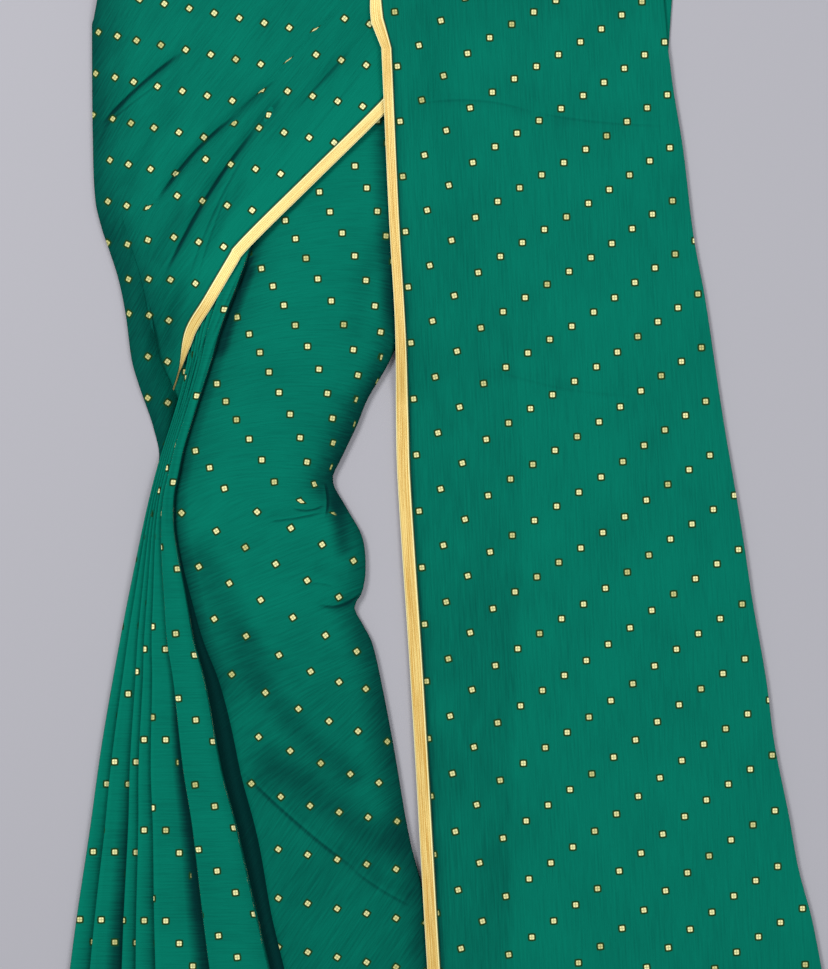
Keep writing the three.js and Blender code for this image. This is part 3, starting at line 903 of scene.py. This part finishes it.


# Sharp middle line of each crease, an arc through three places: the places, its width and its strength. Each
# line is painted shade with a painted highlight beside it, and it is also a bump.
CREASE_LINES = [
    ((-356, 417), (-315, 457), (-255, 502), 3.2, 0.9),
    ((-358, 409), (-321, 439), (-271, 472), 2.2, 0.35),
    ((-297, 320), (-254, 378), (-200, 426), 3.2, 0.95),
    ((-200, 428), (-179, 447), (-152, 467), 2.5, 0.3),
    ((-285, 240), (-239, 327), (-172, 419), 3.2, 0.95),
    ((-263, 219), (-228, 313), (-189, 385), 2.4, 0.4),
    ((-251, 224), (-232, 286), (-205, 352), 2.2, 0.3),
    ((-133, 431), (-101, 467), (-71, 500), 2.6, 0.4),
    ((-175, 332), (-115, 405), (-44, 493), 3.0, 0.3),
    ((-140, -27), (-121, -30), (-101, -22), 2.2, 0.6),
    ((-168, -43), (-136, -39), (-103, -32), 2.2, 0.55),
    ((-103, 3), (-99, -18), (-102, -39), 2.4, 0.7),
    ((-59, -122), (-83, -139), (-113, -137), 3.0, 0.6),
    ((-131, -117), (-110, -114), (-90, -119), 2.4, 0.25),
    ((-202, -326), (-133, -390), (-62, -446), 3.4, 0.5),
    ((-74, -439), (-39, -465), (0, -487), 3.0, 0.3),
    ((-182, 265), (-197, 240), (-202, 208), 3.0, 0.8),
    ((-189, 256), (-208, 212), (-223, 168), 2.8, 0.6),
    ((-198, 244), (-216, 205), (-235, 159), 2.6, 0.5),
    ((-228, 191), (-250, 136), (-264, 70), 2.6, 0.5),
    ((-237, 178), (-259, 125), (-273, 65), 2.4, 0.45),
    ((-218, 187), (-239, 129), (-254, 70), 2.4, 0.35),
    ((-5, 433), (70, 442), (137, 428), 2.6, 0.22),
    ((131, 430), (214, 417), (297, 413), 2.6, 0.18),
    ((87, 134), (168, 111), (271, 102), 3.0, 0.1),
]

# Over six of a line's widths the tone dips into painted shade, then rises above the level beside it into a
# painted highlight. The line fades out between two shares of its half length.
LINE_SPAN = 6
LINE_LEVEL = 0.5
LINE_STOPS = ((0.3, LINE_LEVEL), (0.5, 0.0), (0.64, 0.62), (0.95, LINE_LEVEL))
LINE_ENDS = (1.05, 0.45)


def painted_crease_lines(finish):
    """Tone of the crease lines: below 0 in the painted shade of a crease's line, above 0 in the painted
    highlight of the lit fold beside it.
    """
    place = finish.nodes.new("ShaderNodeTexCoord").outputs["Object"]
    total = 0.0
    for first, middle, last, width, strength in CREASE_LINES:
        (ax, ay), (bx, by), (cx, cy) = first, middle, last
        cross_sum = 2 * (ax * (by - cy) + bx * (cy - ay) + cx * (ay - by))
        a, b, c = ax * ax + ay * ay, bx * bx + by * by, cx * cx + cy * cy
        centre = Vector((a * (by - cy) + b * (cy - ay) + c * (ay - by),
                         a * (cx - bx) + b * (ax - cx) + c * (bx - ax))) / cross_sum
        radius = (Vector(first) - centre).length
        lit_side = 1 if (centre - Vector(middle)).dot(Vector((1, -1))) > 0 else -1
        reach = 0.5 * (Vector(last) - Vector(first)).length
        step = lit_side / (LINE_SPAN * width * MM)
        side = finish.sum("MULTIPLY_ADD", finish.distance(place, centre), step, 0.5 - radius * MM * step)
        profile = finish.nodes.new("ShaderNodeValToRGB")
        ramp = profile.color_ramp
        ramp.interpolation = "EASE"
        ramp.elements[0].position, ramp.elements[1].position = LINE_STOPS[0][0], LINE_STOPS[-1][0]
        for stop, _ in LINE_STOPS[1:-1]:
            ramp.elements.new(stop)
        for element, (_, value) in zip(ramp.elements, LINE_STOPS):
            element.color = (value, value, value, 1)
        finish.links.new(side, profile.inputs[0])
        change = finish.sum("SUBTRACT", profile.outputs[0], LINE_LEVEL)
        far, near = (reach * share * MM for share in LINE_ENDS)
        shown = finish.soft_step(finish.distance(place, Vector(middle)), far, near)
        total = finish.sum("MULTIPLY_ADD", change, finish.sum("MULTIPLY", shown, strength), total)
    return total


# Print: small gold squares of four petals, one every 62 mm along the cloth, each row a quarter step on.
# Each edge is soft: how far from the middle of a motif it starts, and how far from it the colour is full.
ROW_SHIFT = 0.25
RIM_EDGE = (0.0054, 0.0044)
PETAL_EDGE = (0.0031, 0.0026)
PETAL_GAP = (-0.0006, 0.00096)
CORNER_ROUNDING = 0.16
# Greens of the cloth: its deep and light tones, which also serve as painted shade and painted highlight
LIGHT_AND_LIT_GREEN = (0.0008, 0.162, 0.106, 1)
DEEP_AND_SHADED_GREEN = (0.0004, 0.026, 0.024, 1)
PRINT_GOLD = (0.98, 0.94, 0.47, 1)
PRINT_SHADED_AND_RUBBED = (0.34, 0.33, 0.08, 1)
PRINT_EDGE = (0.009, 0.046, 0.011, 1)

chiffon = Finish("chiffon")
along, across = chiffon.print_place()
row_number = chiffon.sum("ROUND", chiffon.sum("DIVIDE", across, ROW_STEP * MM))
row_way = chiffon.sum("MULTIPLY_ADD", row_number, -ROW_STEP * MM, across)
slid = chiffon.sum("MULTIPLY_ADD", row_number, REPEAT * MM * ROW_SHIFT, along)
step_number = chiffon.sum("ROUND", chiffon.sum("DIVIDE", slid, REPEAT * MM))
step_way = chiffon.sum("MULTIPLY_ADD", step_number, -REPEAT * MM, slid)
drawn_along, drawn_aslant, drawn_across = (chiffon.attribute(name) for name in DRAWN)
from_step = chiffon.sum("ABSOLUTE", chiffon.weighted((row_way, drawn_aslant), (step_way, drawn_along)))
from_row = chiffon.sum("ABSOLUTE", chiffon.weighted((step_way, drawn_aslant), (row_way, drawn_across)))
square = chiffon.sum("MAXIMUM", from_row, from_step)
cross = chiffon.sum("MINIMUM", from_row, from_step)
corner = chiffon.sum("MULTIPLY_ADD", cross, CORNER_ROUNDING, square)
motif = chiffon.soft_step(corner, *RIM_EDGE)
petals = chiffon.sum("MULTIPLY", chiffon.soft_step(corner, *PETAL_EDGE), chiffon.soft_step(cross, *PETAL_GAP))

crinkle = chiffon.noise(24, 480, 3.0, 0.6)
creping = chiffon.noise(300, 1500, 2.0, 0.5)
cloudy = chiffon.noise(9, 16, 2.0, 0.5)
# Painted shade from the cloth's shade attribute and the painted crease lines darken and lighten the tone,
# along with the chiffon's crinkle and uneven colour.
painted_shade = chiffon.attribute(SHADE)
creases = painted_crease_lines(chiffon)
tone_and_painted_shading = chiffon.weighted((crinkle, 0.45), (cloudy, 0.3), (painted_shade, -0.8), (creases, 0.9))
green = chiffon.blend(chiffon.soft_step(tone_and_painted_shading, -0.45, 0.42), DEEP_AND_SHADED_GREEN, LIGHT_AND_LIT_GREEN)

# The print doesn't show in the deepest painted shade, and painted shade darkens its gold. Some of its motifs
# are rubbed
in_light = chiffon.soft_step(painted_shade, 0.9, 0.75)
speckle = chiffon.nodes.new("ShaderNodeTexWhiteNoise")
speckle.noise_dimensions = "2D"
motif_number = chiffon.nodes.new("ShaderNodeCombineXYZ")
chiffon.links.new(row_number, motif_number.inputs[0])
chiffon.links.new(step_number, motif_number.inputs[1])
chiffon.links.new(motif_number.outputs[0], speckle.inputs["Vector"])
rubbed = chiffon.soft_step(speckle.outputs["Value"], 0.45, 1.3)
gold = chiffon.blend(chiffon.sum("MAXIMUM", painted_shade, rubbed), PRINT_GOLD, PRINT_SHADED_AND_RUBBED)
rimmed = chiffon.blend(chiffon.sum("MULTIPLY", motif, in_light), green, PRINT_EDGE)
printed = chiffon.blend(chiffon.sum("MULTIPLY", petals, in_light), rimmed, gold)
chiffon.links.new(printed, chiffon.shader.inputs["Base Color"])
chiffon.shader.inputs["Roughness"].default_value = 0.7
chiffon.shader.inputs["Specular IOR Level"].default_value = 0.02
crinkled = chiffon.bump(crinkle, 0.0007, chiffon.bump(creases, 0.002))
chiffon.links.new(chiffon.bump(creping, 0.0002, crinkled), chiffon.shader.inputs["Normal"])
cloth.data.materials.append(chiffon.material)

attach(cloth, "root")
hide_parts("saree_cloth")

# Border tape: gold lace tape, 16 mm wide, woven with lengthwise ribs and sewn along the one long edge.
# It follows the cloth's edge through every fold.
TAPE_ROWS = 7
TAPE_GAP = 0.2
TAPE_THICKNESS = 0.7

tape_lengths = [0]
for (before, _), (after, _) in zip(columns, columns[1:]):
    tape_lengths.append(tape_lengths[-1] + (Vector(after[0][0]) - Vector(before[0][0])).length)


def tape_corner(column, row):
    cells, way = columns[column]
    edge, _, shade = cells[0]
    share = row / (TAPE_ROWS - 1)
    place = Vector(edge) + mix(Vector(way).normalized() * TAPE_GAP, Vector(way), share)
    place.z = max(place.z, FLOOR_LEVEL)
    return place, (tape_lengths[column], TAPE_WIDTH * share), shade


tape = sheet_from_grid("lace_tape", TAPE_ROWS, tape_corner, TAPE_THICKNESS)

SHADED_GOLD_THREAD = (0.52, 0.28, 0.025, 1)
GOLD_LIGHT = (0.80, 0.61, 0.20, 1)
RIM_LIGHT = (0.92, 0.84, 0.42, 1)
SEAM_SHADOW = (0.02, 0.07, 0.015, 1)
RIBS = 7
STITCH = 0.0023
INNER_RIM = (0.0033, 0.0026)
OUTER_RIM = (0.0146, 0.0152)
SEAM_SHADOW_EDGE = (0.0020, 0.0012)

lace = Finish("gold_lace")
along_tape, from_seam = lace.print_place()
ribs_apart = TAPE_WIDTH / RIBS * MM
rib_wave = lace.sum("SINE", lace.sum("MULTIPLY", from_seam, 2 * math.pi / ribs_apart))
slant = lace.sum("MULTIPLY_ADD", from_seam, 0.6, along_tape)
stitches = lace.sum("SINE", lace.sum("MULTIPLY", slant, 2 * math.pi / STITCH))
rib_height = lace.weighted((rib_wave, 0.3), (stitches, 0.05))
thread = lace.noise(11, 620, 3.0, 0.6)
weave = lace.noise(700, 900, 2.0, 0.5)
# The lace's tone comes from its ribs and threads, and the cloth's painted shade darkens it towards the darker
# thread colour.
lace_tone_and_shade = lace.weighted((rib_height, 0.5), (thread, 3.8), (weave, 0.5), (lace.attribute(SHADE), -0.9))
threads = lace.blend(lace.soft_step(lace_tone_and_shade, 0.75, 2.35), SHADED_GOLD_THREAD, GOLD_LIGHT)
rims = lace.sum("MAXIMUM", lace.soft_step(from_seam, *INNER_RIM), lace.soft_step(from_seam, *OUTER_RIM))
rimmed_tape = lace.blend(lace.sum("MULTIPLY", rims, 0.8), threads, RIM_LIGHT)
# Painted shadow: a dark green line along the seam, on the cloth's side of the tape.
tape_colour = lace.blend(lace.soft_step(from_seam, *SEAM_SHADOW_EDGE), rimmed_tape, SEAM_SHADOW)
lace.links.new(tape_colour, lace.shader.inputs["Base Color"])
lace.shader.inputs["Roughness"].default_value = 0.45
lace.shader.inputs["Metallic"].default_value = 0.15
lace.links.new(lace.bump(rib_height, 0.0004), lace.shader.inputs["Normal"])
tape.data.materials.append(lace.material)

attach(tape, "root")
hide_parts("border_tape")

# Floor: a plain pale surface, lit by soft studio lamps from above
FLOOR_SIZE = 4
floor_maker = bmesh.new()
bmesh.ops.create_grid(floor_maker, x_segments=1, y_segments=1, size=FLOOR_SIZE / 2)
floor_object = finish_mesh(floor_maker, "floor")
pale = Finish("pale_floor")
pale.shader.inputs["Base Color"].default_value = (0.372, 0.366, 0.392, 1)
pale.shader.inputs["Roughness"].default_value = 0.8
floor_object.data.materials.append(pale.material)


def lamp(name, place, size, power):
    data = bpy.data.lights.new(name, "AREA")
    data.shape = "DISK"
    data.size = size
    data.energy = power
    lamp_object = bpy.data.objects.new(name, data)
    lamp_object.location = ORIGIN + Vector(place)
    lamp_object.rotation_euler = (ORIGIN - lamp_object.location).to_track_quat("-Z", "Y").to_euler()
    bpy.context.collection.objects.link(lamp_object)


lamp("key", (-2.4, 1.6, 3.2), 1.6, 130)
lamp("fill", (2.2, 0.2, 3.6), 2.4, 70)
world = bpy.data.worlds.new("studio")
bpy.context.scene.world = world
world.use_nodes = True
background = world.node_tree.nodes["Background"]
background.inputs["Color"].default_value = (0.9, 0.92, 1, 1)
background.inputs["Strength"].default_value = 0.45
bpy.context.scene.view_settings.view_transform = "Standard"
